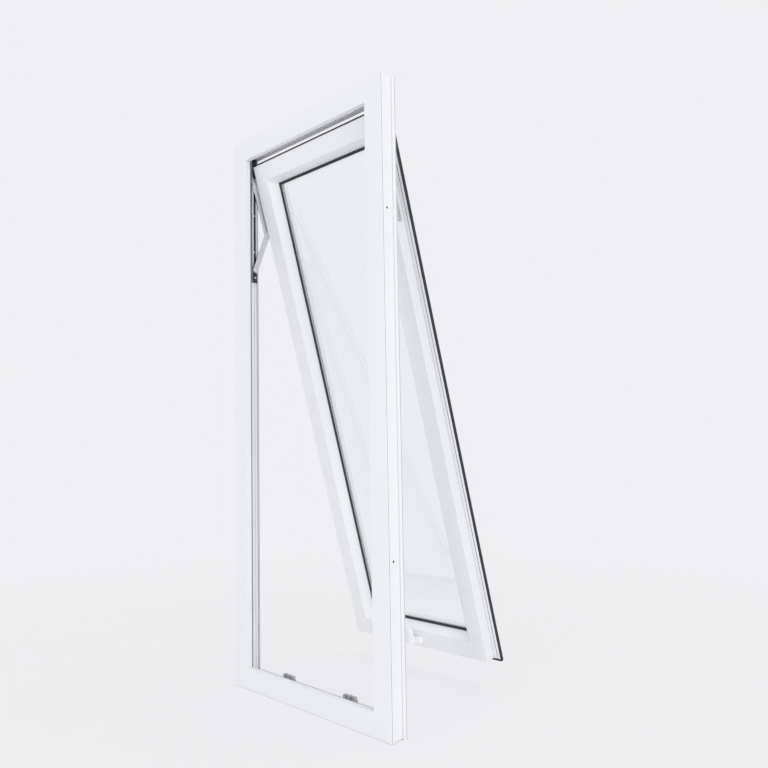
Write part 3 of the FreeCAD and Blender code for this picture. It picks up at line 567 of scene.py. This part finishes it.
def cross_head(radius, height):
    """A pan head with a cross-shaped recess, its top facing +Z."""
    shape, ring = turned([(across * radius, up * height) for across, up in PAN_PROFILE])
    wide, reach = CROSS_HALF_WIDTH * radius, CROSS_REACH * radius
    quarter = [(wide, wide), (wide, reach), (-wide, reach)]
    turns = [Matrix.Rotation(math.radians(90 * i), 4, "Z") for i in range(4)]
    corners = [step @ Vector((x, y, height)) for step in turns for x, y in quarter]
    top = [shape.verts.new(corner) for corner in corners]
    base = [shape.verts.new(corner - Vector((0, 0, CROSS_DEPTH * height))) for corner in corners]
    shape.faces.new(base)
    for i in range(len(top)):
        shape.faces.new((top[i - 1], top[i], base[i], base[i - 1]))
    rim = [shape.edges.get((loop[i - 1], loop[i])) for loop in (ring, top) for i in range(len(loop))]
    bmesh.ops.triangle_fill(shape, use_beauty=True, edges=rim)
    return finished(shape, "screw_head")


screw = cross_head(SCREW_RADIUS_MM * MM, SCREW_RISE_MM * MM)
print("screw faces", len(screw.polygons))

# %% [markdown]
# ## Fasten the stays
# Each stay is screwed through its track into the jamb and through its bar into the sash, and its arms turn on
# rivets. The places come from the boxes of the pieces that carry them, so a head always sits on its metal.
# All heads of one kind on one stay make one piece, which is easier to handle than a dozen tiny objects.

# %% Copy heads to their places
def add_heads(name, places, finish):
    """One piece from copies of a head. Places are (head, point, direction that its top faces)."""
    shape = bmesh.new()
    for head, point, facing in places:
        copy = head.copy()
        copy.transform(Matrix.Translation(point) @ facing.to_track_quat("Z", "Y").to_matrix().to_4x4())
        shape.from_mesh(copy)
        bpy.data.meshes.remove(copy)
    piece = bpy.data.objects.new(name, bpy.data.meshes.new(name))
    shape.to_mesh(piece.data)
    shape.free()
    piece.data.materials.append(finish)
    scene.collection.objects.link(piece)
    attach(piece, "root")
    return piece


def near_face(name, side):
    """The x of a piece's face towards the window's middle."""
    low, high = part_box(name)
    return low.x if side > 0 else high.x


def far_face(name, side):
    """The x of a piece's face away from the window's middle."""
    return near_face(name, -side)


print("heads are copied, turned and joined")

# %% Screws and rivets of the two stays
TRACK_SHEET_MM = 1.2
HALF_ARM_MM = 8.0
TRACK_SCREW_HEIGHTS_MM = (1190.0, 1294.0)

for side_name, side in (("left", -1), ("right", 1)):
    inward, outward = Vector((-side, 0, 0)), Vector((side, 0, 0))
    slider_low, slider_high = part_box(side_name + "_stay_slider")
    block_low, block_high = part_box(side_name + "_stay_end_block")
    middle_y = (slider_low.y + slider_high.y) / 2
    floor_x = far_face(side_name + "_stay_track", side) - side * TRACK_SHEET_MM * MM
    add_heads(side_name + "_track_screws",
              [(screw, Vector((floor_x, middle_y, z * MM)), inward) for z in TRACK_SCREW_HEIGHTS_MM],
              zinc)
    block_place = Vector((near_face(side_name + "_stay_end_block", side), middle_y,
                          (block_low.z + block_high.z) / 2))
    add_heads(side_name + "_block_screw", [(screw, block_place, inward)], steel)

    arm_low, arm_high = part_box(side_name + "_slider_arm")
    support_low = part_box(side_name + "_support_arm")[0]
    half_arm = HALF_ARM_MM * MM
    slider_pivot = Vector((near_face(side_name + "_slider_arm", side), middle_y,
                           (slider_low.z + slider_high.z) / 2))
    lower_pivot = Vector((near_face(side_name + "_support_arm", side), middle_y, support_low.z + half_arm))
    knee = Vector((far_face(side_name + "_slider_arm", side), arm_high.y - half_arm, arm_low.z + half_arm))
    add_heads(side_name + "_stay_rivets",
              [(rivet, slider_pivot, inward), (rivet, lower_pivot, inward), (rivet, knee, outward)],
              steel)
    print(side_name, "stay: knee at", [round(v / MM, 1) for v in knee])

# %% [markdown]
# ## Plugs above the tracks
# A nylon plug closes each track's upper end and fills most of the gap below the head. It is drawn from the
# side as a block with two cut corners and pushed out by its thickness, and a bevel takes off its sharp edges
# as a mould would.

# %% Shape the plugs
PLUG_RISE_MM = 15.0
PLUG_CORNER_MM = 3.0
PLUG_BEVEL_MM = 0.6

for side_name, side in (("left", -1), ("right", 1)):
    block_low, block_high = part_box(side_name + "_stay_top_block")
    rise, corner = PLUG_RISE_MM * MM, PLUG_CORNER_MM * MM
    outline = [(block_low.y, 0.0), (block_high.y, 0.0), (block_high.y, rise - corner),
               (block_high.y - corner, rise), (block_low.y + corner, rise), (block_low.y, rise - corner)]
    faces_x = (far_face(side_name + "_stay_track", side), near_face(side_name + "_stay_top_block", side))
    shape = bmesh.new()
    rows = [[shape.verts.new((x, y, block_high.z + z)) for y, z in outline] for x in faces_x]
    for row in rows:
        shape.faces.new(row)
    for i in range(len(outline)):
        shape.faces.new((rows[0][i - 1], rows[0][i], rows[1][i], rows[1][i - 1]))
    bmesh.ops.bevel(shape, geom=shape.edges[:], offset=PLUG_BEVEL_MM * MM, segments=2, affect="EDGES")
    plug_name = side_name + "_track_plug"
    plug = bpy.data.objects.new(plug_name, finished(shape, plug_name))
    plug.data.materials.append(nylon)
    scene.collection.objects.link(plug)
    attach(plug, "root")
    print(plug_name, "faces", len(plug.data.polygons))

# %% [markdown]
# ## The weather lip
# Behind the rebate the frame ends in a low lip with a slot for a brush seal. It runs up both jambs and along
# the head, and the sill has none so that rain can run out. One small profile is carried round the three
# sides: each of its points becomes a line that turns the two upper corners, and neighbouring lines are
# joined.

# %% Carry the lip round the frame
LIP_SIDES = 3
LIP_RISE_MM = 3.5
LIP_WIDTH_MM = 3.0
SLOT_WIDTH_MM = 1.2
SLOT_DEPTH_MM = 2.0

half_width = far_face("right_stay_track", 1)
rebate = cad_box[1].x - half_width
lip_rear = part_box("frame_head")[1].y
slot_near = (LIP_WIDTH_MM - SLOT_WIDTH_MM) / 2
slot_far = slot_near + SLOT_WIDTH_MM
slot_floor = LIP_RISE_MM - SLOT_DEPTH_MM
# The lip's section as steps forward from the frame's rear face and up from the rebate.
lip_profile = [(0.0, 0.0), (0.0, LIP_RISE_MM), (slot_near, LIP_RISE_MM), (slot_near, slot_floor),
               (slot_far, slot_floor), (slot_far, LIP_RISE_MM), (LIP_WIDTH_MM, LIP_RISE_MM),
               (LIP_WIDTH_MM, 0.0)]
shape = bmesh.new()
lines = []
for forward, rise in lip_profile:
    x = half_width - rise * MM
    y = lip_rear - forward * MM
    top = cad_box[1].z - rebate - rise * MM
    bends = ((-x, y, rebate), (-x, y, top), (x, y, top), (x, y, rebate))
    lines.append([shape.verts.new(point) for point in bends])
for i in range(len(lines)):
    for j in range(LIP_SIDES):
        shape.faces.new((lines[i - 1][j], lines[i - 1][j + 1], lines[i][j + 1], lines[i][j]))
for end in (0, LIP_SIDES):
    shape.faces.new([line[end] for line in lines])
lip = bpy.data.objects.new("frame_weather_lip", finished(shape, "frame_weather_lip"))
lip.data.materials.append(powder_coat)
scene.collection.objects.link(lip)
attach(lip, "root")
print("lip faces", len(lip.data.polygons))

# %% [markdown]
# ## Screws on the tilted sash
# The sash leans out, so its own screws are easiest to place in the sash's own directions: across, through and
# down from its top edge. One matrix holds the lean, and each place and facing goes through it.

# %% Screws of the sash bars and the handle
SASH_TILT = math.radians(15.5)
SASH_TOP_EDGE_MM = (0.0, 27.0, 1429.5)
BAR_SCREW_DROPS_MM = (90.0, 140.0, 250.0)
BAR_MIDDLE_MM = 11.0
BAR_FACE_MM = 249.0
HANDLE_DROP_MM = 1382.0
HANDLE_FACE_MM = -8.0
HANDLE_SCREW_OFFSET_MM = 17.0
HANDLE_SCREW_RADIUS_MM = 3.2
HANDLE_SCREW_RISE_MM = 0.9

lean = Matrix.Translation(Vector(SASH_TOP_EDGE_MM) * MM) @ Matrix.Rotation(SASH_TILT, 4, "X")
room_side = lean.to_3x3() @ Vector((0, -1, 0))
for side_name, side in (("left", -1), ("right", 1)):
    places = [lean @ (Vector((side * BAR_FACE_MM, BAR_MIDDLE_MM, -drop)) * MM)
              for drop in BAR_SCREW_DROPS_MM]
    add_heads(side_name + "_sash_bar_screws",
              [(screw, place, Vector((side, 0, 0))) for place in places], steel)
handle_screw = cross_head(HANDLE_SCREW_RADIUS_MM * MM, HANDLE_SCREW_RISE_MM * MM)
handle_places = [lean @ (Vector((x, HANDLE_FACE_MM, -HANDLE_DROP_MM)) * MM)
                 for x in (-HANDLE_SCREW_OFFSET_MM, HANDLE_SCREW_OFFSET_MM)]
add_heads("handle_screws", [(handle_screw, place, room_side) for place in handle_places], lacquer)
print("handle screws at", [[round(v / MM, 1) for v in place] for place in handle_places])

# %% Screws of the keeps
KEEP_BASE_MM = 4.0
KEEP_SCREW_OFFSET_MM = 7.5
KEEP_SCREW_RADIUS_MM = 2.1
KEEP_SCREW_RISE_MM = 1.2

keep_screw = cross_head(KEEP_SCREW_RADIUS_MM * MM, KEEP_SCREW_RISE_MM * MM)
for side_name in ("left", "right"):
    keep_low, keep_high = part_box(side_name + "_keep")
    middle = (keep_low + keep_high) / 2
    places = [Vector((middle.x + offset * MM, middle.y, keep_low.z + KEEP_BASE_MM * MM))
              for offset in (-KEEP_SCREW_OFFSET_MM, KEEP_SCREW_OFFSET_MM)]
    add_heads(side_name + "_keep_screws", [(keep_screw, place, Vector((0, 0, 1))) for place in places], zinc)
print("keep screws placed")

# %% [markdown]
# ## The end

# %% The end
print("the end")
